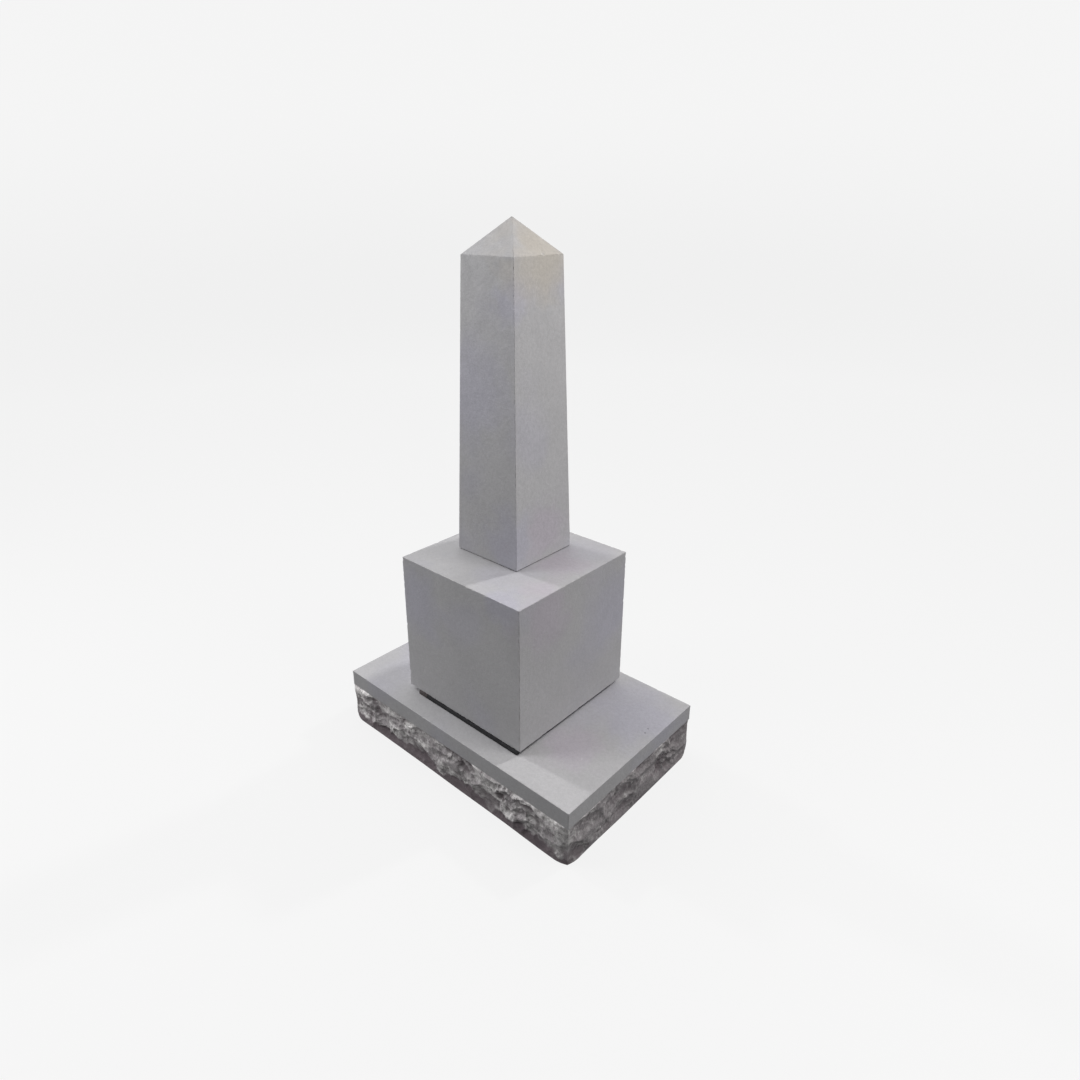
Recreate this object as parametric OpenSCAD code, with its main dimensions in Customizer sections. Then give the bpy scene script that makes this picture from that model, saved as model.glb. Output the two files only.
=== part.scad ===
// Small free-standing obelisk in three worked stones: a low base slab with a
// smooth top, smooth margins and rock-pitched sides, a plain square die block
// set on a dark packing sheet, and a tapered square shaft that ends in a low
// pyramid cut on the same stone.
//
// Millimetres, +Z up. X runs along the base's long side and -Y is its long
// front. The origin is the centre of the base's underside, on the ground.

/* [Base slab] */
// Length of the base along X, over its smooth margins
base_length = 780; // [720:10:900]
// Width of the base along Y, over its smooth margins
base_width = 498; // [480:2:600]
// Height of the base, from the ground to its smooth top
base_height = 150; // [120:2:200]
// Depth of the smooth margin worked round the top of each side
margin_height = 43; // [20:1:60]
// Narrow bevel worked along the margin's top arris
arris_bevel = 1.5; // [0.5:0.5:4]

/* [Rock face] */
// Farthest that the rock face stands out past the margin
rock_reach = 7; // [2:1:15]
// Deepest that a scallop between two flakes falls back
rock_hollow = 13; // [4:1:18]
// How far the face draws in at the ground
rock_undercut = 10; // [4:1:20]
// Length of one flake facet along the side
flake_length = 24; // [18:2:40]
// Height steps in the rock face
rock_rows = 6; // [4:1:8]
// Number that picks the pattern of flakes
rock_seed = 11; // [1:1:99]

/* [Packing under the die] */
// Thickness of the dark packing sheet
sheet_thickness = 10; // [6:1:14]
// Length of the sheet along X
sheet_length = 324; // [280:2:330]
// Width of the sheet along Y
sheet_width = 372; // [340:2:380]
// How far the sheet's front edge stands out past the die's front face
sheet_proud = 5; // [0:1:10]
// How far the sheet's right edge lies behind the die's right face
sheet_setback = 6; // [0:1:12]
// Length along X of the packer that carries on from the sheet's left end
packer_length = 32; // [16:2:38]

/* [Die block] */
// Side of the square die block
die_width = 400; // [380:5:420]
// Height of the die block
die_height = 380; // [300:5:460]
// Die centre from the base centre along X
die_shift_x = -10; // [-30:1:30]
// Die centre from the base centre along Y
die_shift_y = 13; // [-20:1:20]
// Narrow bevel worn along the arrises round the die's top
die_bevel = 1.5; // [0.5:0.5:4]

/* [Shaft] */
// Thickness of the dark bed joint under the shaft
bed_thickness = 2; // [1:0.5:4]
// Side of the shaft at its foot
shaft_foot = 203; // [180:1:240]
// Side of the shaft at its shoulder, under the pyramid
shaft_shoulder = 163; // [120:1:178]
// Height of the tapered part, from the bed joint to the shoulder
shaft_height = 718; // [500:2:900]
// Height of the pyramid above the shoulder
cap_height = 80; // [40:2:140]
// Shaft centre from the die centre along X
shaft_shift_x = -31; // [-60:1:60]
// Shaft centre from the die centre along Y
shaft_shift_y = 32; // [-60:1:60]

/* [Hidden] */

// Finishes
smooth_stone = "#a9a9ad";
die_stone = "#98989d";
shaft_stone = "#9c9ca1";
black_sheet = "#242526";
brown_packer = "#4e484a";
dark_bed = "#3c3b3f";

// Heights at which the stones meet
rock_height = base_height - margin_height;
die_bottom = base_height + sheet_thickness;
die_top = die_bottom + die_height;
shaft_bottom = die_top + bed_thickness;
shoulder_z = shaft_bottom + shaft_height;

// Faces of the die in the object's own frame
die_right = die_shift_x + die_width / 2;
die_front = die_shift_y - die_width / 2;

// The packing sheet lies toward the die's front right corner, and the packer
// carries on from its left end along the front
sheet_right = die_right - sheet_setback;
sheet_left = sheet_right - sheet_length;
sheet_front = die_front - sheet_proud;
packer_left = sheet_left - packer_length;

// The bed joint is pointed a hair behind the shaft's faces
bed_setback = 2;

// Rock face: columns of facets run round the slab, first along the front
columns_x = round(base_length / flake_length);
columns_y = round(base_width / flake_length);
column_count = 2 * (columns_x + columns_y);
// Columns at the four corners, from the front left one round to it again
corner_columns = [
    0, columns_x, columns_x + columns_y, 2 * columns_x + columns_y, column_count
];
// The ledge under the margin comes out over this height
ledge_drop = 4;
// How far a point may wander up or down, as a part of the height of a row
row_wander = 0.28;
// Slope of the face where it draws in above the ground
foot_slope = 0.45;
// Stone below the ground line that the saw takes off to leave a flat underside
saw_depth = 4;
rough = rands(0, 1, column_count * (rock_rows + 2), rock_seed);
drift = rands(-1, 1, column_count * (rock_rows + 1), rock_seed + 1);

// Where column c meets the margin's outline, as [x, y]
function outline(c) =
    let (a = columns_x, b = a + columns_y, d = b + columns_x)
    c < a ? [base_length * (c / columns_x - 0.5), -base_width / 2] :
    c < b ? [base_length / 2, base_width * ((c - a) / columns_y - 0.5)] :
    c < d ? [base_length * (0.5 - (c - b) / columns_x), base_width / 2] :
    [-base_length / 2, base_width * (0.5 - (c - d) / columns_y)];

// Way out of the slab at column c: square to the side, or both ways at a corner
function outward(c) =
    let (a = columns_x, b = a + columns_y, d = b + columns_x)
    c == 0 ? [-1, -1] :
    c < a ? [0, -1] :
    c == a ? [1, -1] :
    c < b ? [1, 0] :
    c == b ? [1, 1] :
    c < d ? [0, 1] :
    c == d ? [-1, 1] :
    [-1, 0];

function is_corner(c) = abs(outward(c).x) + abs(outward(c).y) == 2;

// Corner i of the margin, drawn in by inset, at height z
function margin_corner(i, inset, z) =
    let (p = outline(corner_columns[i]), w = outward(corner_columns[i]))
    [p.x - w.x * inset, p.y - w.y * inset, z];

// Noise at a column and row, shared a little with the columns beside it
function flake(c, r) =
    let (k = r * column_count, n = column_count)
    0.6 * rough[k + c] + 0.2 * rough[k + (c + 1) % n] + 0.2 * rough[k + (c + n - 1) % n];

// Distance of the face from the margin's plane at height z: out under the ledge,
// scalloped below it, and held back by a plane that slopes in to the ground
function relief(c, r, z) =
    let (
        u = z / rock_height,
        belly = rock_reach * (0.4 + 1.8 * flake(c, r)),
        scallop = rock_hollow * pow(flake(c, r + 1), 2) * sin(180 * u),
        foot = foot_slope * max(z, 0) - rock_undercut * (0.7 + 0.6 * flake(c, 0))
    )
    is_corner(c) ? min(0, foot / 2) : min(rock_reach, belly - scallop, foot);

// Height of a row at a column; rows wander so that no bed lines show
function row_z(c, r) =
    let (step = (rock_height - ledge_drop) / rock_rows, k = r * column_count + c)
    r == 0 ? -saw_depth :
    r == rock_rows ? rock_height - ledge_drop :
    step * (r + row_wander * drift[k]);

function rock_point(c, r) =
    let (p = outline(c), w = outward(c), z = row_z(c, r))
    let (out = relief(c, r, z))
    [p.x + w.x * out, p.y + w.y * out, z];

// A block with its top arrises bevelled, standing on z = 0: what its side outline
// and its end outline have in common
module bevelled_block(size_x, size_y, height, bevel) {
    intersection() {
        rotate([90, 0, 0])
            linear_extrude(size_y, center = true)
                bevelled_side(size_x, height, bevel);
        rotate([90, 0, 90])
            linear_extrude(size_x, center = true)
                bevelled_side(size_y, height, bevel);
    }
}

module bevelled_side(width, height, bevel) {
    polygon([
        [-width / 2, 0],
        [width / 2, 0],
        [width / 2, height - bevel],
        [width / 2 - bevel, height],
        [-width / 2 + bevel, height],
        [-width / 2, height - bevel]
    ]);
}

// The base before it is sawn flat underneath, as one closed skin: rows of facets
// up to the ledge, the four margins, the bevel round the top arris, and the top
module rough_slab() {
    n = column_count;
    rings = rock_rows + 1;
    face_points = [for (r = [0:rock_rows]) for (c = [0:n - 1]) rock_point(c, r)];
    ledge = [for (c = [0:n - 1]) [outline(c).x, outline(c).y, rock_height]];
    arris = [for (i = [0:3]) margin_corner(i, 0, base_height - arris_bevel)];
    brow = [for (i = [0:3]) margin_corner(i, arris_bevel, base_height)];
    facets = [
        for (r = [0:rings - 1]) for (c = [0:n - 1])
            let (k = r * n, next = (c + 1) % n)
            each (c + r) % 2 == 0 ?
                [[k + c, k + n + c, k + next], [k + next, k + n + c, k + n + next]] :
                [[k + c, k + n + c, k + n + next], [k + c, k + n + next, k + next]]
    ];
    first_arris = n * (rings + 1);
    first_brow = first_arris + 4;
    // each margin and the underside is a fan of triangles, so none is a sliver
    margins = [
        for (i = [0:3]) concat(
            [first_arris + i, first_arris + (i + 1) % 4],
            [for (c = [corner_columns[i + 1]:-1:corner_columns[i]]) n * rings + c % n]
        )
    ];
    bevels = [
        for (i = [0:3])
            let (j = (i + 1) % 4)
            [first_arris + i, first_brow + i, first_brow + j, first_arris + j]
    ];
    middle = first_brow + 4;
    underside = [for (c = [0:n - 1]) [middle, c, (c + 1) % n]];
    top = [[for (i = [3:-1:0]) first_brow + (i + 1) % 4]];
    polyhedron(
        concat(face_points, ledge, arris, brow, [[0, 0, -saw_depth]]),
        concat(facets, margins, bevels, underside, top),
        convexity = 6
    );
}

module base_slab() {
    color(smooth_stone)
        difference() {
            rough_slab();
            translate([-base_length, -base_width, -2 * saw_depth])
                cube([2 * base_length, 2 * base_width, 2 * saw_depth]);
        }
}

module packing_sheet() {
    color(black_sheet)
        translate([sheet_left, sheet_front, base_height])
            cube([sheet_length, sheet_width, sheet_thickness]);
}

module end_packer() {
    color(brown_packer)
        translate([packer_left, sheet_front, base_height])
            cube([packer_length, sheet_width, sheet_thickness]);
}

module die_block() {
    color(die_stone)
        translate([die_shift_x, die_shift_y, die_bottom])
            bevelled_block(die_width, die_width, die_height, die_bevel);
}

module shaft_bed() {
    bed_width = shaft_foot - 2 * bed_setback;
    color(dark_bed)
        translate([
            die_shift_x + shaft_shift_x - bed_width / 2,
            die_shift_y + shaft_shift_y - bed_width / 2,
            die_top
        ])
            cube([bed_width, bed_width, bed_thickness]);
}

// The shaft seen square on: straight taper, then the two slopes of the pyramid
module shaft_side() {
    polygon([
        [-shaft_foot / 2, 0],
        [shaft_foot / 2, 0],
        [shaft_shoulder / 2, shaft_height],
        [0, shaft_height + cap_height],
        [-shaft_shoulder / 2, shaft_height]
    ]);
}

module shaft() {
    color(shaft_stone)
        translate([die_shift_x + shaft_shift_x, die_shift_y + shaft_shift_y, shaft_bottom])
            intersection() {
                rotate([90, 0, 0])
                    linear_extrude(shaft_foot, center = true)
                        shaft_side();
                rotate([90, 0, 90])
                    linear_extrude(shaft_foot, center = true)
                        shaft_side();
            }
}

base_slab();
packing_sheet();
end_packer();
die_block();
shaft_bed();
shaft();
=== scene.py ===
import math

import bpy
import numpy as np
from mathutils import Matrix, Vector


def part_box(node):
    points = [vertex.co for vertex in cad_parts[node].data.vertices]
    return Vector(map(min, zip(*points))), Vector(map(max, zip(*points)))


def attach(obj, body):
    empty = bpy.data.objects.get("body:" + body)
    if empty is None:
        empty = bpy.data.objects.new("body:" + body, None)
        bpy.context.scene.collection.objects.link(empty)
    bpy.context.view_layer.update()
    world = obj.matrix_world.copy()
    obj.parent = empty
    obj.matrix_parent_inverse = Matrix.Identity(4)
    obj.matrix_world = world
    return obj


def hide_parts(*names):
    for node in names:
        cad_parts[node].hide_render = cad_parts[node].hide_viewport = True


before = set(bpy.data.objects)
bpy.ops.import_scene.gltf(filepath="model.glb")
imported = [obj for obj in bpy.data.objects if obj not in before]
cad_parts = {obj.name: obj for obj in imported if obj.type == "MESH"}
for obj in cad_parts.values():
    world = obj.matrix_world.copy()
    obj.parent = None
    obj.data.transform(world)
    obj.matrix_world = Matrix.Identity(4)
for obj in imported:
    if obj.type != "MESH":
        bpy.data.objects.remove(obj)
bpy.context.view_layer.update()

# ---------------------------------------------------------------------------
# Base slab
# One stone, sawn flat underneath and rubbed smooth on top. A smooth margin is
# worked round the top of its sides, and under the pitched line below it the
# stone is left as it broke away from the chisel.
# ---------------------------------------------------------------------------
MM = 0.001
slab_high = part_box("base_slab")[1]
slab_top = slab_high.z
margin_depth = 43 * MM
pitched_line = slab_top - margin_depth
arris_band = 3 * MM
slab_arris = [
    v.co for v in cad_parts["base_slab"].data.vertices if v.co.z > slab_top - arris_band
]
half_length = max(v.x for v in slab_arris)
half_width = max(v.y for v in slab_arris)
rock_reach = slab_high.x - half_length

facet = 2.2 * MM            # spacing of the points that carry the broken face
corner_turn = 25 * MM       # length over which the face turns round a corner
broad_flake = (84 * MM, 46 * MM)    # length and height of the broadest scars
middle_flake = (31 * MM, 17 * MM)
small_flake = (12 * MM, 8 * MM)
broad_depth = 19 * MM
middle_depth, small_depth, rough_depth = 6.5, 2.8, 0.5      # in millimetres
lip_height = 37 * MM        # the ragged lip's mean height above the ground
foot_proud = 3.5 * MM       # how far the foot stands out past the margin
foot_turn = 5 * MM          # how much of that is lost towards the corners
lip_reach = 9 * MM          # how fast the face comes out from the foot to the lip above
level_off = 3 * MM          # how near its farthest reach the face begins to level off
corner_rounding = 4 * MM    # taken off the upright corners of the broken face
eased_arris = 0.45 * MM     # how far a rubbed arris is taken off
margin_painted_shade = 0.10        # painted shade on the margins, as a share of their colour; the top has none
end_painted_shade = 0.34           # painted shade on the broken face at the short ends
left_painted_light = 0.3            # painted light on the broken face at the left end of the long sides
full_wear = 0.8 * MM        # depth of chip that shows fully pale


def uneven(along, up, size, seed, length_round=None):
    """Gentle random unevenness from -1 to 1, in swells about `size` across."""
    rng = np.random.default_rng(seed)
    columns = 64 if length_round is None else max(3, round(length_round / size))
    rows = 64
    swell = rng.uniform(-1, 1, (rows, columns))
    a = along / size if length_round is None else along / length_round * columns
    b = up / size + rows / 2
    ia, ib = np.floor(a).astype(int), np.floor(b).astype(int)
    fa, fb = a - ia, b - ib
    fa, fb = fa * fa * (3 - 2 * fa), fb * fb * (3 - 2 * fb)

    def at(da, db):
        return swell[(ib + db) % rows, (ia + da) % columns]

    low = at(0, 0) * (1 - fa) + at(1, 0) * fa
    high = at(0, 1) * (1 - fa) + at(1, 1) * fa
    return low * (1 - fb) + high * fb


def flake_scars(along, up, length, height, lean, seed, length_round):
    """Shallow bowls where flakes came off, with a ridge wherever two bowls meet.

    Returns how proud each point stands, 0 in a bowl to about 1 on a ridge, and a
    random number from 0 to 1 for the scar that the point belongs to.
    """
    rng = np.random.default_rng(seed)
    columns = round(length_round / length)
    rows = 40
    at_x, at_y = rng.uniform(0.1, 0.9, (2, rows, columns))
    tip_x, tip_y = rng.uniform(-0.55, 0.55, (2, rows, columns))
    sunk = rng.uniform(-0.25, 0.25, (rows, columns))
    mark = rng.uniform(0, 1, (rows, columns))
    a = along / length_round * columns
    b = up / height + rows / 2
    ia, ib = np.floor(a).astype(int), np.floor(b).astype(int)
    proud = np.full(a.shape, 9.0)
    scar = np.zeros(a.shape)
    for da in (-1, 0, 1):
        for db in (-1, 0, 1):
            ca, cb = (ia + da) % columns, (ib + db) % rows
            x = a - ia - da - at_x[cb, ca]
            y = b - ib - db - at_y[cb, ca]
            y = y + lean * x
            bowl = x * x + y * y + tip_x[cb, ca] * x + tip_y[cb, ca] * y + sunk[cb, ca]
            nearer = bowl < proud
            proud = np.where(nearer, bowl, proud)
            scar = np.where(nearer, mark[cb, ca], scar)
    return proud, scar


def slab_outline():
    """Points round the margin's outline, the way out at each, and the length run so far."""
    points, ways, runs, run = [], [], [], 0.0
    corners = [
        (-half_length, -half_width),
        (half_length, -half_width),
        (half_length, half_width),
        (-half_length, half_width),
    ]
    for i, (x0, y0) in enumerate(corners):
        x1, y1 = corners[(i + 1) % 4]
        side = math.hypot(x1 - x0, y1 - y0)
        steps = round(side / facet)
        for k in range(steps):
            x, y = x0 + (x1 - x0) * k / steps, y0 + (y1 - y0) * k / steps
            turn_x = x - np.clip(x, corner_turn - half_length, half_length - corner_turn)
            turn_y = y - np.clip(y, corner_turn - half_width, half_width - corner_turn)
            reach = math.hypot(turn_x, turn_y)
            points.append((x, y))
            ways.append((turn_x / reach, turn_y / reach))
            runs.append(run + side * k / steps)
        run += side
    return np.array(points), np.array(ways), np.array(runs), run


def broken_face(run, z, length_round, corner_near, end_near):
    """How far the broken face stands out past the margin, and the marks of each point.

    Flakes came away along the side, so their scars are long and low: broad ones first,
    then smaller ones wherever the break turned rough. The belly that they leave ends at
    a ragged lip above the ground; the foot under it is smoother and falls straight, and its
    colour is soiling with painted shade.
    """
    across = run + 15 * MM * uneven(run, z, 62 * MM, 5, length_round)
    across = across + 6 * MM * uneven(run, z, 23 * MM, 6, length_round)
    up = z + 8 * MM * uneven(run, z, 47 * MM, 7, length_round)
    up = up + 3 * MM * uneven(run, z, 15 * MM, 8, length_round)
    big, big_scar = flake_scars(across, up, *broad_flake, 0.25, 21, length_round)
    mid, mid_scar = flake_scars(across, up, *middle_flake, -0.2, 22, length_round)
    small, small_scar = flake_scars(across, up, *small_flake, 0.15, 23, length_round)
    rough = uneven(run, z, 4.5 * MM, 24, length_round)
    swell = uneven(run, z, 170 * MM, 25, length_round)
    hackly = 0.65 + 0.3 * end_near + 1.1 * uneven(run, z, 72 * MM, 29, length_round)
    hackly = np.clip(hackly, 0.1, 1.5)
    finer = middle_depth * mid + small_depth * small + rough_depth * rough
    scars = broad_depth * big + MM * (0.4 + hackly) * finer
    belly = scars + 3 * MM * swell - 5 * MM
    # under the pitched line the break first runs outward, then down
    drop = np.clip(pitched_line - z, 0, None)
    ledge_slope = 1.6 + 0.9 * uneven(run, 0 * z, 40 * MM, 26, length_round)
    belly = np.minimum(belly, ledge_slope * drop)
    belly = np.where(belly < 0, belly * np.clip(drop / (9 * MM), 0, 1), belly)
    belly = np.minimum(belly, rock_reach + 0.2 * (belly - rock_reach))
    belly = belly * (1 - 0.8 * corner_near) + 1.5 * MM * corner_near
    lip = lip_height - 6 * MM * end_near
    lip = lip + 11 * MM * uneven(run, 0 * z, 64 * MM, 27, length_round)
    lip = lip + 4 * MM * uneven(run, 0 * z, 19 * MM, 28, length_round)
    corner_draw = foot_turn * corner_near ** 0.7
    fallen = lip_reach * (z / lip) ** 2.2 + foot_proud - corner_draw
    fallen = fallen + 1.5 * MM * uneven(run, 0 * z, 140 * MM, 30, length_round)
    fallen = fallen + 0.12 * scars * np.clip(z / (12 * MM), 0, 1)
    # the foot band below this line takes soiling and painted shade
    soil_and_shade_top = 0.62 * lip + 5 * MM * uneven(run, z, 11 * MM, 32, length_round)
    soil_and_shade_top = soil_and_shade_top + 9 * MM * uneven(run, 0 * z, 45 * MM, 33, length_round)
    foot = np.clip((soil_and_shade_top - z) / (9 * MM), 0, 1) * (1 - 0.7 * end_near)
    # right at the ground the stone stands on an even line
    grounded = 1 - np.clip(z / (20 * MM), 0, 1)
    out = np.minimum(belly, fallen) * (1 - grounded) + fallen * grounded
    out = out - corner_rounding * corner_near
    # nothing stands out past the most that the break left, so the proudest parts level off
    full = rock_reach - level_off
    out = np.where(out > full, full + level_off * np.tanh((out - full) / level_off), out)
    # the scars' tone differs at random; painted shade at the short ends
    tone = 0.45 * big_scar + 0.35 * mid_scar + 0.2 * small_scar - 0.4 * end_near
    # painted highlight along the ledge under the pitched line
    tone = tone + 0.25 * np.clip(1 - drop / (16 * MM), 0, 1)
    # painted shade in the hollows of the scars
    painted_hollow_shade = np.clip((0.16 - big) * 1.2 + (0.18 - mid) * 0.9 * hackly, 0, 1)
    return out, tone, painted_hollow_shade, foot


def scoop(points, centre, radius):
    """Pushes points that lie inside a ball out to its skin: a chip with a curved bed."""
    away = points - centre
    far = np.linalg.norm(away, axis=1)
    inside = far < radius
    moved = np.zeros(len(points))
    moved[inside] = radius - far[inside]
    points[inside] = centre + away[inside] * (radius / far[inside])[:, None]
    return moved


def chip_arris(points, start, end, outward, count, seed, bite=(0.4, 1.6)):
    """Knocks small chips out of the arris that runs from start to end."""
    rng = np.random.default_rng(seed)
    worn = np.zeros(len(points))
    start, end = np.array(start, float), np.array(end, float)
    outward = np.array(outward, float) / np.linalg.norm(outward)
    line = end - start
    run = np.linalg.norm(line)
    for _ in range(count):
        place = start + line * rng.uniform(0.01, 0.99)
        depth = bite[0] + (bite[1] - bite[0]) * rng.random() ** 3
        radius = rng.uniform(4, 16)
        lean = rng.normal(0, 0.25, 3)
        lean -= line * (lean @ line) / run**2
        way = outward + lean
        way /= np.linalg.norm(way)
        centre = place + way * (radius - depth) * MM
        near = np.abs(points - place).max(axis=1) < 3 * math.sqrt(radius * depth) * MM
        part = points[near]
        worn[near] = np.maximum(worn[near], scoop(part, centre, radius * MM))
        points[near] = part
    return worn


def piece_from(name, points, faces, marks, finishes, finish_of_face=None):
    """A mesh piece with its marks (one number a point) kept for the finishes to read."""
    mesh = bpy.data.meshes.new(name)
    mesh.from_pydata([tuple(p) for p in points], [], faces)
    for mark, values in marks.items():
        mesh.attributes.new(mark, "FLOAT", "POINT").data.foreach_set(
            "value", np.asarray(values, np.float32)
        )
    for finish in finishes:
        mesh.materials.append(finish)
    if finish_of_face is not None:
        mesh.polygons.foreach_set("material_index", finish_of_face)
    mesh.validate()
    mesh.shade_smooth()
    mesh.set_sharp_from_angle(angle=math.radians(34))
    piece = bpy.data.objects.new(name, mesh)
    bpy.context.scene.collection.objects.link(piece)
    return piece


class Finish:
    """A material being mixed from nodes; each call adds one step and gives back its output."""

    def __init__(self, name):
        self.material = bpy.data.materials.new(name)
        self.material.use_nodes = True
        self.nodes = self.material.node_tree.nodes
        self.links = self.material.node_tree.links
        self.shader = self.nodes["Principled BSDF"]
        self.place = self.nodes.new("ShaderNodeTexCoord").outputs["Object"]

    def join(self, value, socket):
        if isinstance(value, bpy.types.NodeSocket):
            self.links.new(value, socket)
        else:
            socket.default_value = value

    def grain(self, size, detail=3.0, shift=0.0, rough=0.5):
        """Cloudy noise with marks about `size` metres across."""
        node = self.nodes.new("ShaderNodeTexNoise")
        node.noise_dimensions = "4D"
        node.inputs["Scale"].default_value = 1 / size
        node.inputs["Detail"].default_value = detail
        node.inputs["Roughness"].default_value = rough
        node.inputs["W"].default_value = shift
        self.links.new(self.place, node.inputs["Vector"])
        return node.outputs["Fac"]

    def crystals(self, size, output="Distance", shift=0.0):
        """Grains with edges, about `size` metres across."""
        node = self.nodes.new("ShaderNodeTexVoronoi")
        node.voronoi_dimensions = "4D"
        node.inputs["Scale"].default_value = 1 / size
        node.inputs["W"].default_value = shift
        self.links.new(self.place, node.inputs["Vector"])
        return node.outputs[output]

    def upright(self):
        """Height above the ground."""
        node = self.nodes.new("ShaderNodeSeparateXYZ")
        self.links.new(self.place, node.inputs[0])
        return node.outputs["Z"]

    def around(self, spot, radius):
        """1 at a spot, fading to 0 at about `radius` from it along a wavering edge."""
        far = self.nodes.new("ShaderNodeVectorMath")
        far.operation = "DISTANCE"
        self.links.new(self.place, far.inputs[0])
        far.inputs[1].default_value = spot
        wavering = self.between(self.grain(radius / 2, 2.0), 0.3, 0.7, 0.7, 1.3)
        ragged = self.sum("MULTIPLY", wavering, radius)
        return self.between(self.sum("DIVIDE", far.outputs["Value"], ragged), 0.25, 1.0, 1, 0)

    def mark(self, name):
        node = self.nodes.new("ShaderNodeAttribute")
        node.attribute_name = name
        return node.outputs["Fac"]

    def sum(self, how, a, b):
        node = self.nodes.new("ShaderNodeMath")
        node.operation = how
        self.join(a, node.inputs[0])
        self.join(b, node.inputs[1])
        return node.outputs[0]

    def between(self, value, low, high, out_low=0.0, out_high=1.0):
        """Stretches the values from low to high over a new range, eased at both ends."""
        node = self.nodes.new("ShaderNodeMapRange")
        node.interpolation_type = "SMOOTHSTEP"
        self.join(value, node.inputs["Value"])
        node.inputs["From Min"].default_value = low
        node.inputs["From Max"].default_value = high
        node.inputs["To Min"].default_value = out_low
        node.inputs["To Max"].default_value = out_high
        return node.outputs["Result"]

    def blend(self, amount, a, b):
        node = self.nodes.new("ShaderNodeMix")
        node.data_type = "RGBA"
        self.join(amount, node.inputs[0])
        self.join((*a, 1) if isinstance(a, tuple) else a, node.inputs[6])
        self.join((*b, 1) if isinstance(b, tuple) else b, node.inputs[7])
        return node.outputs[2]

    def shade(self, colour, amount):
        """Makes a colour lighter or darker by a number about 1."""
        node = self.nodes.new("ShaderNodeVectorMath")
        node.operation = "SCALE"
        self.join(colour, node.inputs[0])
        self.join(amount, node.inputs["Scale"])
        return node.outputs[0]

    def bump(self, height, depth, after=None):
        node = self.nodes.new("ShaderNodeBump")
        node.inputs["Strength"].default_value = 1.0
        node.inputs["Distance"].default_value = depth
        self.links.new(height, node.inputs["Height"])
        if after is not None:
            self.links.new(after, node.inputs["Normal"])
        return node.outputs["Normal"]


def rubbed_stone(name, tone, shift, mottling=1.0, lavender=(), pink=(), warm=(), pits=()):
    """Fine grey stone rubbed smooth: pebbly grain, faint clouds of colour, specks and pits.

    The clouds are spots with a radius, and the pits are holes left by lost crystals, coloured with
    painted shade.
    """
    f = Finish(name)
    grey = tuple(tone * c for c in (1.0, 0.988, 1.015))
    tints = (
        (lavender, (0.965, 0.95, 1.07)),
        (pink, (1.015, 0.95, 1.045)),
        (warm, (1.07, 1.0, 0.91)),
    )
    colour = f.blend(f.between(f.grain(0.18, 1.0, shift), 0.5, 0.7), grey,
                     tuple(tone * c for c in (0.98, 0.965, 1.045)))
    for spots, tint in tints:
        for *spot, radius in spots:
            colour = f.blend(f.around(spot, radius), colour, tuple(tone * c for c in tint))
    mottle = f.between(
        f.grain(0.008, 4.0, shift + 3, 0.6), 0.3, 0.7, 1 - 0.035 * mottling, 1 + 0.035 * mottling
    )
    patchy = f.between(f.grain(0.07, 2.0, shift + 4), 0.3, 0.7, 0.98, 1.02)
    fine = f.between(f.grain(0.0022, 3.0, shift + 5, 0.6), 0.3, 0.7, 0.95, 1.05)
    colour = f.shade(colour, f.sum("MULTIPLY", f.sum("MULTIPLY", mottle, patchy), fine))
    # painted shade on some parts: the base's margins, the die's upper sides and top, the foot of the
    # shaft's front
    colour = f.shade(colour, f.sum("SUBTRACT", 1.0, f.mark("painted_shading")))
    # pale mineral specks, and small pits in painted shade, a few to the hand's breadth
    speck = f.between(f.crystals(0.017, shift=shift), 0.05, 0.09, 1, 0)
    few = f.between(f.crystals(0.017, "Color", shift), 0.84, 0.86)
    colour = f.blend(f.sum("MULTIPLY", speck, few), colour, (min(1, tone * 1.6),) * 3)
    pit_dent_and_shade = f.between(f.crystals(0.031, shift=shift + 9), 0.035, 0.06, 1, 0)
    fewer = f.between(f.crystals(0.031, "Color", shift + 9), 0.90, 0.92)
    pit_dent_and_shade = f.sum("MULTIPLY", pit_dent_and_shade, fewer)
    for *spot, radius in pits:
        pit_dent_and_shade = f.sum("MAXIMUM", pit_dent_and_shade, f.around(spot, radius))
    colour = f.blend(pit_dent_and_shade, colour, (tone * 0.3,) * 3)
    # the chips along the arrises are a little paler
    colour = f.blend(f.between(f.mark("worn"), 0.05, 0.9, 0, 0.5), colour,
                     tuple(tone * c for c in (1.18, 1.15, 1.12)))
    f.join(colour, f.shader.inputs["Base Color"])
    f.join(f.between(f.grain(0.03, 3.0, shift + 2), 0.3, 0.7, 0.62, 0.8), f.shader.inputs["Roughness"])
    f.shader.inputs["Specular IOR Level"].default_value = 0.35
    grain = f.bump(f.grain(0.0026, 4.0, shift + 5, 0.6), 0.0004)
    skin = f.bump(f.grain(0.009, 2.0, shift + 6), 0.0006, grain)
    f.join(f.bump(f.sum("MULTIPLY", pit_dent_and_shade, -1.0), 0.0008, skin), f.shader.inputs["Normal"])
    return f.material


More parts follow.
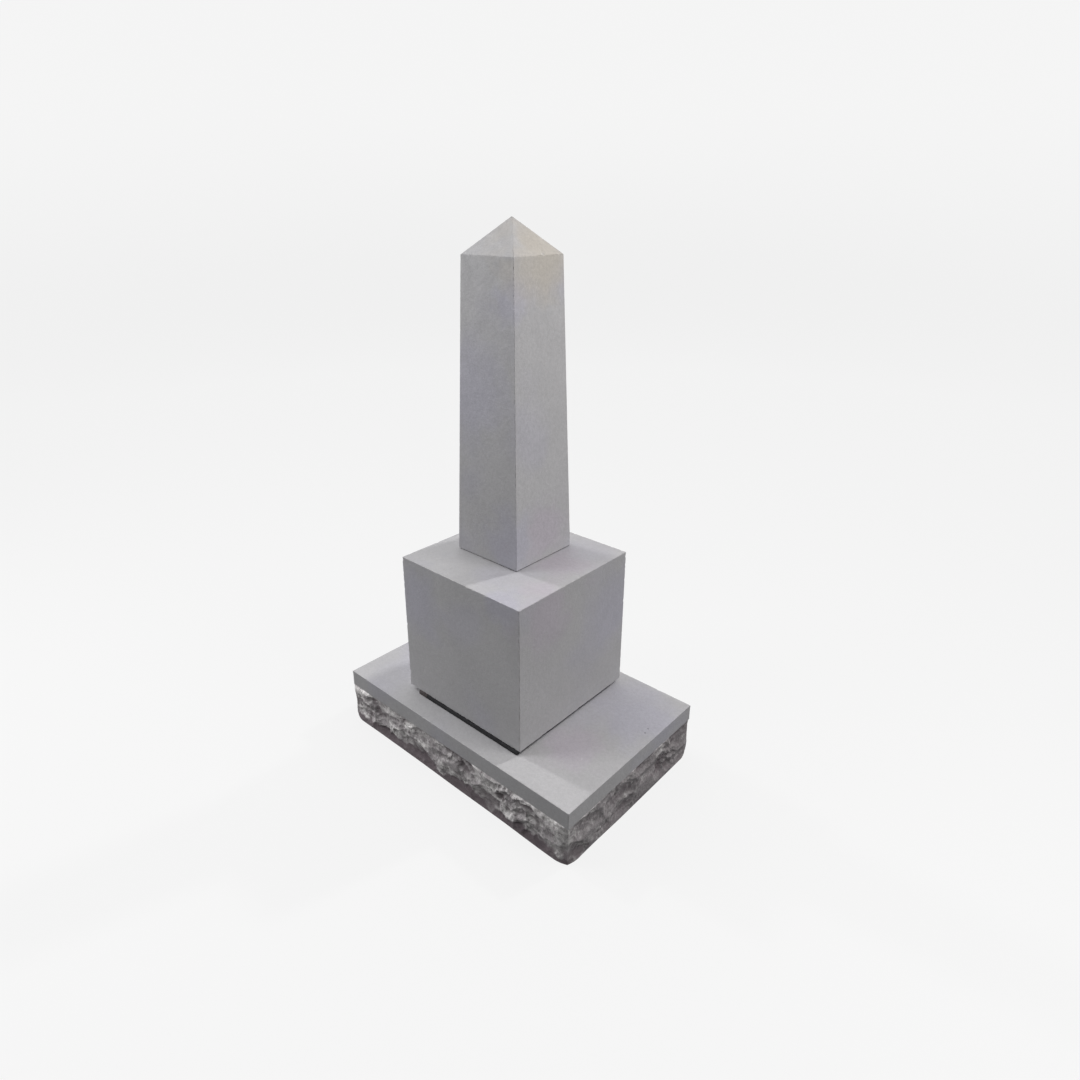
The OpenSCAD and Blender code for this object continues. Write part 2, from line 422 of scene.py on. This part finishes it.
def broken_stone(name, tone, shift):
    """The same stone where it broke: pale fresh flakes, painted shade in hollows and cracks, soiling
    with painted shade at the foot.
    """
    f = Finish(name)
    pale = tuple(tone * c for c in (1.50, 1.46, 1.45))
    dull = tuple(tone * c for c in (0.72, 0.67, 0.69))
    painted_shade_colour = tuple(tone * c for c in (0.33, 0.28, 0.30))
    soil_and_shade_colour = tuple(tone * c for c in (0.27, 0.215, 0.24))
    # the flake tone carries painted shade at the short ends and a painted highlight under the pitched
    # line
    patch = f.sum("ADD", f.grain(0.026, 5.0, shift, 0.65), f.sum("MULTIPLY", f.mark("flake_tone_and_painted_shading"), 0.35))
    colour = f.blend(f.between(patch, 0.55, 0.82), dull, pale)
    fleck = f.between(f.grain(0.006, 4.0, shift + 1, 0.65), 0.3, 0.7, 0.74, 1.26)
    fine = f.between(f.grain(0.002, 3.0, shift + 2, 0.6), 0.3, 0.7, 0.86, 1.14)
    colour = f.shade(colour, f.sum("MULTIPLY", fleck, fine))
    # painted shade at the short ends, and painted light at the left end of the long sides
    colour = f.shade(colour, f.sum("SUBTRACT", 1.0, f.mark("painted_shading")))
    # painted shade in the scars' hollows
    colour = f.blend(f.between(f.mark("painted_hollow_shade"), 0.05, 0.6, 0, 0.85), colour, painted_shade_colour)
    # painted shade along fine cracks
    painted_crack_shade = f.between(f.grain(0.011, 5.0, shift + 4, 0.7), 0.36, 0.45, 0.8, 0)
    colour = f.blend(painted_crack_shade, colour, painted_shade_colour)
    # soiling and painted shade on the foot band under the lip
    colour = f.blend(f.between(f.mark("foot"), 0.1, 0.8, 0, 0.93), colour, soil_and_shade_colour)
    f.join(colour, f.shader.inputs["Base Color"])
    f.shader.inputs["Roughness"].default_value = 0.82
    f.shader.inputs["Specular IOR Level"].default_value = 0.4
    crust = f.bump(f.grain(0.006, 4.0, shift + 3, 0.6), 0.0014)
    f.join(f.bump(f.grain(0.0022, 3.0, shift + 2, 0.6), 0.0007, crust), f.shader.inputs["Normal"])
    return f.material


def build_base_slab():
    outline, way, run, length_round = slab_outline()
    n = len(outline)
    from_corner = np.hypot(
        half_length - np.abs(outline[:, 0]), half_width - np.abs(outline[:, 1])
    )
    corner_near = np.clip(1 - from_corner / (34 * MM), 0, 1) ** 2
    # the short ends are rougher than the long sides, and carry painted shade
    end_near = np.clip(np.abs(way[:, 0]) * 1.5 - 0.5, 0, 1)
    # and the left end of the long sides carries painted light
    left_end = np.clip((-outline[:, 0] - 0.26) / 0.08, 0, 1) * (1 - end_near)
    # painted shade at the short ends, painted light at the left end of the long sides
    rock_painted_shading = end_painted_shade * end_near - left_painted_light * left_end
    rings, marks = [], {"flake_tone_and_painted_shading": [], "painted_hollow_shade": [], "foot": [], "painted_shading": []}

    def ring(points, z, tone=0.5, painted_hollow_shade=0.0, foot=0.0, painted_shading=0.0):
        rings.append(np.column_stack([points, np.broadcast_to(z, n)]))
        for mark, value in zip(marks, (tone, painted_hollow_shade, foot, painted_shading)):
            marks[mark].append(np.broadcast_to(value, n))

    rock_rows = round((pitched_line - 4 * MM) / facet)
    heights = list(np.linspace(0, pitched_line - 4 * MM, rock_rows, endpoint=False))
    heights += [pitched_line - d * MM for d in (4, 3, 2.1, 1.3, 0.6)]
    for z in heights:
        level = np.full(n, z)
        out, tone, painted_hollow_shade, foot = broken_face(run, level, length_round, corner_near, end_near)
        ring(outline + way * out[:, None], z, tone, painted_hollow_shade, foot, rock_painted_shading)
    last_rock_ring = len(rings)
    line_wander = 0.5 * MM * uneven(run, 0 * run, 14 * MM, 31, length_round)
    # the margin rings carry painted shade
    ring(outline, pitched_line + line_wander, painted_shading=margin_painted_shade)
    for z in (1.2, 3.0, 6.0):
        ring(outline, pitched_line + z * MM, painted_shading=margin_painted_shade)
    for z in (9, 6, 4, 2.6, 1.6, 0.8):
        ring(outline, slab_top - z * MM, painted_shading=margin_painted_shade)
    side_way = np.where(np.abs(way) > 0.999, np.sign(way), way)
    ring(outline - side_way * eased_arris, slab_top - eased_arris)
    for inset in (0.8, 1.6, 2.6, 4, 6, 9):
        shrink = np.array([half_length, half_width]) - inset * MM
        ring(outline / [half_length, half_width] * shrink, slab_top)

    points = np.vstack(rings)
    worn = np.zeros(len(points))
    corners = [(-1, -1), (1, -1), (1, 1), (-1, 1)]
    for i, (sx, sy) in enumerate(corners):
        tx, ty = corners[(i + 1) % 4]
        start = (sx * half_length, sy * half_width, slab_top)
        end = (tx * half_length, ty * half_width, slab_top)
        out_x, out_y = (sx + tx) / 2, (sy + ty) / 2
        count = round(math.dist(start, end) / (11 * MM))
        top_chips = chip_arris(points, start, end, (out_x, out_y, 1), count, 40 + i, (0.3, 1.5))
        worn = np.maximum(worn, top_chips)
        post = (sx * half_length, sy * half_width, pitched_line + 2 * MM)
        corner_chips = chip_arris(points, post, start, (sx, sy, 0), 5, 50 + i, (0.3, 1.2))
        worn = np.maximum(worn, corner_chips)

    faces, finish_of_face = [list(range(n - 1, -1, -1))], [1]
    for r in range(len(rings) - 1):
        for c in range(n):
            d = (c + 1) % n
            faces.append([r * n + c, r * n + d, (r + 1) * n + d, (r + 1) * n + c])
            finish_of_face.append(1 if r < last_rock_ring else 0)
    faces.append([(len(rings) - 1) * n + c for c in range(n)])
    finish_of_face.append(0)
    marks = {mark: np.concatenate(values) for mark, values in marks.items()}
    marks["worn"] = np.clip(worn / full_wear, 0, 1)
    rubbed = rubbed_stone(
        "Rubbed_base_stone", 0.385, 1.0, 1.2,
        lavender=[(0.32, 0.12, slab_top, 0.16)],
        pink=[(0.26, -0.08, slab_top, 0.10)],
        pits=[(0.363, 0.079, slab_top, 2.6 * MM), (0.360, 0.097, slab_top, 2.3 * MM)],
    )
    finishes = [rubbed, broken_stone("Broken_base_stone", 0.42, 2.0)]
    return piece_from("Base_slab_stone", points, faces, marks, finishes, finish_of_face)


base_slab = build_base_slab()
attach(base_slab, "root")
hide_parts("base_slab")

# ---------------------------------------------------------------------------
# Packing sheet and end packer
# A black sheet about a centimetre thick that the die is bedded on, and a
# brown-grey strip laid at its left end. Both are cut by hand from flat stock
# and held only by the weight of the stones above.
# ---------------------------------------------------------------------------


def inset_loop(corners, inset):
    """The corners of a flat convex face after each side has moved inward by `inset`."""
    corners = [np.array(c, float) for c in corners]
    n = len(corners)
    normal = np.cross(corners[1] - corners[0], corners[2] - corners[1])
    normal /= np.linalg.norm(normal)
    moved = []
    for i in range(n):
        before = corners[i] - corners[i - 1]
        after = corners[(i + 1) % n] - corners[i]
        before /= np.linalg.norm(before)
        after /= np.linalg.norm(after)
        in_a, in_b = np.cross(normal, before), np.cross(normal, after)
        moved.append(corners[i] + (in_a + in_b) * inset / (1 + in_a @ in_b))
    return moved


def block_faces(faces, step, insets):
    """Points and faces of a convex block, each side framed by close loops along its arrises.

    Every arris is cut into lengths of about `step`; the loops lie `insets` in from it,
    and one flat face fills the middle.
    """
    points, quads, found = [], [], {}

    def point(p):
        key = tuple(np.round(p, 6))
        if key not in found:
            found[key] = len(points)
            points.append(np.array(p, float))
        return found[key]

    for corners in faces:
        cuts = [
            max(4, round(math.dist(a, corners[(i + 1) % len(corners)]) / step))
            for i, a in enumerate(corners)
        ]
        loops = []
        for inset in insets:
            loop, moved = [], inset_loop(corners, inset)
            for i, a in enumerate(moved):
                b = moved[(i + 1) % len(moved)]
                loop += [point(a + (b - a) * k / cuts[i]) for k in range(cuts[i])]
            loops.append(loop)
        for outer, inner in zip(loops, loops[1:]):
            m = len(outer)
            for k in range(m):
                j = (k + 1) % m
                quads.append([outer[k], outer[j], inner[j], inner[k]])
        quads.append(loops[-1])
    return np.array(points), quads


def box_corners(low, high):
    """The six sides of a box, each listed so that it faces outward."""
    x, y, z = (low.x, high.x), (low.y, high.y), (low.z, high.z)
    c = [[[(x[i], y[j], z[k]) for k in (0, 1)] for j in (0, 1)] for i in (0, 1)]
    return [
        [c[0][0][0], c[0][1][0], c[1][1][0], c[1][0][0]],
        [c[0][0][1], c[1][0][1], c[1][1][1], c[0][1][1]],
        [c[0][0][0], c[1][0][0], c[1][0][1], c[0][0][1]],
        [c[1][0][0], c[1][1][0], c[1][1][1], c[1][0][1]],
        [c[1][1][0], c[0][1][0], c[0][1][1], c[1][1][1]],
        [c[0][1][0], c[0][0][0], c[0][0][1], c[0][1][1]],
    ]


def ease_edges(points, planes, eased):
    """Draws every point that lies on two or more of the block's planes in by `eased`."""
    on_planes = np.zeros(len(points))
    inward = np.zeros_like(points)
    for normal, offset in planes:
        on = np.abs(points @ normal - offset) < 1e-6
        on_planes += on
        inward[on] -= normal
    edge = on_planes > 1
    points[edge] += inward[edge] * eased


def planes_of(faces):
    planes = []
    for corners in faces:
        a, b, c = (np.array(p, float) for p in corners[:3])
        normal = np.cross(b - a, c - b)
        normal /= np.linalg.norm(normal)
        planes.append((normal, normal @ a))
    return planes


def hand_cut_strip(name, node, finish, seed):
    """A flat strip of sheet: straight faces, and edges that wander a little from the knife."""
    low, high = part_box(node)
    faces = box_corners(low, high)
    points, quads = block_faces(faces, 6 * MM, (0, 0.6 * MM, 1.8 * MM))
    ease_edges(points, planes_of(faces), 0.4 * MM)
    middle = (points.max(axis=0) + points.min(axis=0)) / 2
    wander = 0.5 * MM * uneven(points[:, 0] + points[:, 1], points[:, 2], 30 * MM, seed)
    from_middle = points[:, :2] - middle[:2]
    half_size = np.array([high.x - low.x, high.y - low.y]) / 2
    at_edge = np.abs(from_middle) > half_size - 2 * MM
    points[:, :2] -= np.sign(from_middle) * at_edge * (np.abs(wander) + 0.1 * MM)[:, None]
    return piece_from(name, points, quads, {}, [finish])


def sheet_finish(name, colour, shift):
    """Dull sheet or mortar with stone dust in its surface."""
    f = Finish(name)
    dust = f.between(f.grain(0.009, 4.0, shift), 0.5, 0.75, 0, 0.35)
    dusty = f.blend(dust, colour, tuple(min(1, c * 2.4 + 0.03) for c in colour))
    fine = f.between(f.grain(0.002, 3.0, shift + 1), 0.3, 0.7, 0.8, 1.2)
    f.join(f.shade(dusty, fine), f.shader.inputs["Base Color"])
    f.shader.inputs["Roughness"].default_value = 0.75
    f.shader.inputs["Specular IOR Level"].default_value = 0.3
    f.join(f.bump(f.grain(0.0018, 4.0, shift + 2), 0.0003), f.shader.inputs["Normal"])
    return f.material


black = sheet_finish("Black_sheet", (0.014, 0.014, 0.016), 3.0)
black_sheet = hand_cut_strip("Black_packing_sheet", "packing_sheet", black, 61)
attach(black_sheet, "root")
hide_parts("packing_sheet")

brown = sheet_finish("Brown_packer", (0.062, 0.052, 0.052), 4.0)
brown_packer = hand_cut_strip("Brown_end_packer", "end_packer", brown, 62)
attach(brown_packer, "root")
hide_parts("end_packer")

# ---------------------------------------------------------------------------
# Die block
# One plain square stone, sawn to size and rubbed on every face. Its arrises
# are sharp, and have picked up small chips from handling.
# ---------------------------------------------------------------------------


def rubbed_block(name, faces, finish, seed, chip_gap, bite, blunt=None, painted_shading=None):
    """A convex stone with flat rubbed faces, eased arrises and chips knocked out of them."""
    points, quads = block_faces(faces, 2.4 * MM, [d * MM for d in (0, 0.7, 1.5, 2.6, 4, 6, 9)])
    planes = planes_of(faces)
    ease_edges(points, planes, 0.4 * MM)
    worn = np.zeros(len(points))
    seen = set()
    for corners in faces:
        for i, a in enumerate(corners):
            b = corners[(i + 1) % len(corners)]
            edge = tuple(sorted([tuple(np.round(a, 5)), tuple(np.round(b, 5))]))
            if edge in seen:
                continue
            seen.add(edge)
            a, b = np.array(a), np.array(b)
            meeting = [
                normal for normal, offset in planes
                if abs(normal @ a - offset) < 1e-6 and abs(normal @ b - offset) < 1e-6
            ]
            count = round(np.linalg.norm(b - a) / chip_gap)
            new = chip_arris(points, a, b, meeting[0] + meeting[1], count, seed + len(seen), bite)
            worn = np.maximum(worn, new)
    marks = {"worn": np.clip(worn / full_wear, 0, 1)}
    # painted shade, if any, from the function passed in
    marks["painted_shading"] = np.zeros(len(points)) if painted_shading is None else painted_shading(points)
    if blunt is not None:
        blunt(points)
    return piece_from(name, points, quads, marks, [finish])


die_low, die_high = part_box("die_block")
die_finish = rubbed_stone(
    "Rubbed_die_stone", 0.405, 5.0,
    lavender=[
        (die_low.x + 0.05, die_low.y, 0.43, 0.13),
        (die_high.x - 0.06, die_low.y, die_high.z, 0.09),
        (die_high.x, die_high.y - 0.05, 0.38, 0.15),
    ],
    pink=[(die_high.x, die_low.y + 0.10, 0.49, 0.11), (die_high.x - 0.08, 0.05, die_high.z, 0.10)],
)


fade_start = 0.32           # height at which painted shade begins on the die's sides
# painted shade on the die's sides at their top, and on its top
die_side_painted_shade, die_top_painted_shade = 0.14, 0.06


def paint_shade_on_die(points):
    """Painted shade that grows on the sides towards the die's top, and a little painted shade on the
    top.
    """
    fade = np.clip((points[:, 2] - fade_start) / (die_high.z - fade_start), 0, 1)
    return np.where(points[:, 2] < die_high.z - 1 * MM, die_side_painted_shade * fade, die_top_painted_shade)


die_block = rubbed_block(
    "Die_block_stone", box_corners(die_low, die_high), die_finish, 100, 10 * MM, (0.3, 1.7),
    painted_shading=paint_shade_on_die,
)
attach(die_block, "root")
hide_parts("die_block")

# ---------------------------------------------------------------------------
# Bed joint under the shaft
# A thin dark bed of mortar that the shaft stands in, struck back a little
# behind the faces of the stone.
# ---------------------------------------------------------------------------
mortar = sheet_finish("Dark_bed_mortar", (0.045, 0.043, 0.048), 6.0)
shaft_bed = hand_cut_strip("Shaft_bed_joint", "shaft_bed", mortar, 63)
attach(shaft_bed, "root")
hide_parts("shaft_bed")

# ---------------------------------------------------------------------------
# Shaft
# One tall square stone, tapered from foot to shoulder, with its low pyramid
# top worked on the same block. The point is a little blunted.
# ---------------------------------------------------------------------------
shaft_front_painted_shade = 0.17         # painted shade on the shaft's front at its foot
fade_end = 1.2              # height at which the painted shade has faded out and the front is as pale as the other sides
tip_taken_off = 0.7 * MM

shaft_low, shaft_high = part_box("shaft")
middle_x, middle_y = (shaft_low.x + shaft_high.x) / 2, (shaft_low.y + shaft_high.y) / 2
shoulder = max(
    (v.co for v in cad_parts["shaft"].data.vertices if v.co.z < shaft_high.z - 5 * MM),
    key=lambda v: v.z,
)
shoulder_half, foot_half = abs(shoulder.x - middle_x), (shaft_high.x - shaft_low.x) / 2
turns = [(-1, -1), (1, -1), (1, 1), (-1, 1)]


def ring_at(half, height):
    """The four corners of the shaft at a height, where it is twice `half` across."""
    return [(middle_x + sx * half, middle_y + sy * half, height) for sx, sy in turns]


foot_ring = ring_at(foot_half, shaft_low.z)
shoulder_ring = ring_at(shoulder_half, shoulder.z)
point = (middle_x, middle_y, shaft_high.z)
shaft_faces = [foot_ring[::-1]]
for i in range(4):
    j = (i + 1) % 4
    shaft_faces.append([foot_ring[i], foot_ring[j], shoulder_ring[j], shoulder_ring[i]])
    shaft_faces.append([shoulder_ring[i], shoulder_ring[j], point])


def blunt_point(points):
    """Rubs the very tip down to a small dome."""
    off = np.hypot(points[:, 0] - middle_x, points[:, 1] - middle_y)
    dome = shaft_high.z - tip_taken_off - off**2 / (5 * MM)
    points[:, 2] = np.where(off < 4 * MM, np.minimum(points[:, 2], dome), points[:, 2])


def paint_shade_on_shaft_front(points):
    """Painted shade on the front of the shaft at its foot, which fades out near the top."""
    lean = (foot_half - shoulder_half) / (shoulder.z - shaft_low.z)
    front = middle_y - foot_half + lean * (points[:, 2] - shaft_low.z)
    fade = np.clip((fade_end - points[:, 2]) / (fade_end - shaft_low.z), 0, 1)
    return shaft_front_painted_shade * fade * (points[:, 1] < front + 1 * MM)


shaft_finish = rubbed_stone(
    "Rubbed_shaft_stone", 0.415, 9.0, 1.6,
    lavender=[
        (middle_x - 0.05, middle_y - 0.09, 0.95, 0.16),
        (middle_x + 0.07, middle_y - 0.08, 1.17, 0.07),
        (middle_x + 0.08, middle_y - 0.10, 0.60, 0.12),
    ],
    pink=[(middle_x + 0.10, middle_y, 0.62, 0.10)],
    warm=[(middle_x + 0.10, middle_y + 0.03, 1.27, 0.15)],
)
shaft = rubbed_block(
    "Shaft_stone", shaft_faces, shaft_finish, 200, 16 * MM, (0.2, 0.9), blunt_point, paint_shade_on_shaft_front
)
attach(shaft, "root")
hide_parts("shaft")

# ---------------------------------------------------------------------------
# Studio
# A pale floor that turns up into a round wall. Both glow, the wall a little
# more, and neither gives the object any diffuse light. A dim sky, two far lamps
# behind the object, and four soft panels in front of it and to its right.
# ---------------------------------------------------------------------------
floor_radius, wall_turn, wall_height = 5.0, 2.5, 6.0
steps_round, steps_up = 96, 12
floor_gap = 0.3 * MM        # keeps the floor clear of the slab's underside
floor_glow, wall_glow = 0.84, 0.90

profile = [(0.0, 0.0), (floor_radius, 0.0)]
for k in range(1, steps_up + 1):
    bend = math.radians(90 * k / steps_up)
    profile.append((floor_radius + wall_turn * math.sin(bend), wall_turn * (1 - math.cos(bend))))
profile.append((floor_radius + wall_turn, wall_height))
floor_points, floor_faces = [(0.0, 0.0, 0.0)], []
for radius, rise in profile[1:]:
    for k in range(steps_round):
        turn = 2 * math.pi * k / steps_round
        floor_points.append((radius * math.cos(turn), radius * math.sin(turn), rise))
for k in range(steps_round):
    j = (k + 1) % steps_round
    floor_faces.append([0, 1 + k, 1 + j])
    for ring in range(len(profile) - 2):
        a, b = 1 + ring * steps_round, 1 + (ring + 1) * steps_round
        floor_faces.append([a + k, b + k, b + j, a + j])
floor_mesh = bpy.data.meshes.new("Floor")
floor_mesh.from_pydata(floor_points, [], floor_faces)
floor_mesh.shade_smooth()
floor = bpy.data.objects.new("Floor", floor_mesh)
bpy.context.scene.collection.objects.link(floor)
floor.location.z = -floor_gap
paper = Finish("Pale_floor")
paper.shader.inputs["Base Color"].default_value = (0.06, 0.06, 0.06, 1)
paper.shader.inputs["Emission Color"].default_value = (1.0, 1.0, 1.0, 1)
glow_upward = paper.between(paper.upright(), 0.0, wall_turn, floor_glow, wall_glow)
paper.join(glow_upward, paper.shader.inputs["Emission Strength"])
paper.shader.inputs["Roughness"].default_value = 0.95
paper.shader.inputs["Specular IOR Level"].default_value = 0.0
floor_mesh.materials.append(paper.material)
floor.visible_diffuse = False
floor.visible_shadow = False


def far_lamp(name, azimuth, height, strength, colour, spread):
    """A far lamp; azimuth is counted anticlockwise from +X, in degrees."""
    light = bpy.data.lights.new(name, "SUN")
    light.energy = strength
    light.color = colour
    light.angle = math.radians(spread)
    holder = bpy.data.objects.new(name, light)
    bpy.context.scene.collection.objects.link(holder)
    holder.rotation_euler = (0, math.radians(90 - height), math.radians(azimuth))


def soft_panel(name, place, aim, side, power, colour=(1.0, 1.0, 1.0)):
    """A square soft panel that faces a point on the object."""
    light = bpy.data.lights.new(name, "AREA")
    light.shape = "SQUARE"
    light.size = side
    light.energy = power
    light.color = colour
    holder = bpy.data.objects.new(name, light)
    bpy.context.scene.collection.objects.link(holder)
    holder.location = place
    holder.rotation_mode = "QUATERNION"
    holder.rotation_quaternion = (Vector(aim) - Vector(place)).to_track_quat("-Z", "Y")


far_lamp("Back_right_lamp", 74, 42, 1.36, (1.0, 0.99, 0.98), 4)
far_lamp("Back_left_lamp", 185, 42, 0.86, (1.0, 1.0, 1.0), 4)
soft_panel("Front_left_panel", (-1.8, -1.8, 1.6), (0, 0, 0.7), 1.2, 31)
soft_panel("High_left_panel", (-0.7, -1.1, 2.2), (0, 0, 0.9), 0.6, 7)
soft_panel("Right_panel", (2.0, 0.4, 1.6), (0, 0, 0.7), 1.2, 20)
soft_panel("High_right_panel", (1.2, 0.3, 2.2), (0, 0, 0.9), 0.6, 8, (1.0, 0.97, 0.93))

# the sky is dim all round, with a broad low glow behind the object to its left
dim_sky, glow_strength, glow_falloff = 0.11, 2.0, 3.0
glow_azimuth, glow_height = math.radians(150), math.radians(12)
sky = bpy.data.worlds.new("Sky")
bpy.context.scene.world = sky
sky.use_nodes = True
nodes, links = sky.node_tree.nodes, sky.node_tree.links
toward = nodes.new("ShaderNodeVectorMath")
toward.operation = "DOT_PRODUCT"
links.new(nodes.new("ShaderNodeTexCoord").outputs["Generated"], toward.inputs[0])
toward.inputs[1].default_value = (
    math.cos(glow_height) * math.cos(glow_azimuth),
    math.cos(glow_height) * math.sin(glow_azimuth),
    math.sin(glow_height),
)
facing = nodes.new("ShaderNodeMath")
facing.operation = "MAXIMUM"
links.new(toward.outputs["Value"], facing.inputs[0])
facing.inputs[1].default_value = 0.0
glow = nodes.new("ShaderNodeMath")
glow.operation = "POWER"
links.new(facing.outputs[0], glow.inputs[0])
glow.inputs[1].default_value = glow_falloff
light_of_sky = nodes.new("ShaderNodeMath")
light_of_sky.operation = "MULTIPLY_ADD"
links.new(glow.outputs[0], light_of_sky.inputs[0])
light_of_sky.inputs[1].default_value = glow_strength
light_of_sky.inputs[2].default_value = dim_sky
links.new(light_of_sky.outputs[0], nodes["Background"].inputs["Color"])

# ---------------------------------------------------------------------------
# Camera
# It stands a little above the point of the shaft, off the front right corner,
# and looks down at the die.
# ---------------------------------------------------------------------------
lens_data = bpy.data.cameras.new("Camera")
lens_data.sensor_width = 36
lens_data.lens = 24.54
lens_data.shift_x = 0.0083
lens_data.shift_y = -0.0436
camera = bpy.data.objects.new("Camera", lens_data)
bpy.context.scene.collection.objects.link(camera)
camera.location = (1.1445, -1.2047, 1.3581)
looking_down, turned = 21.23, 42.09
camera.rotation_euler = (math.radians(90 - looking_down), 0, math.radians(turned))
bpy.context.scene.camera = camera
bpy.context.scene.view_settings.view_transform = "Standard"
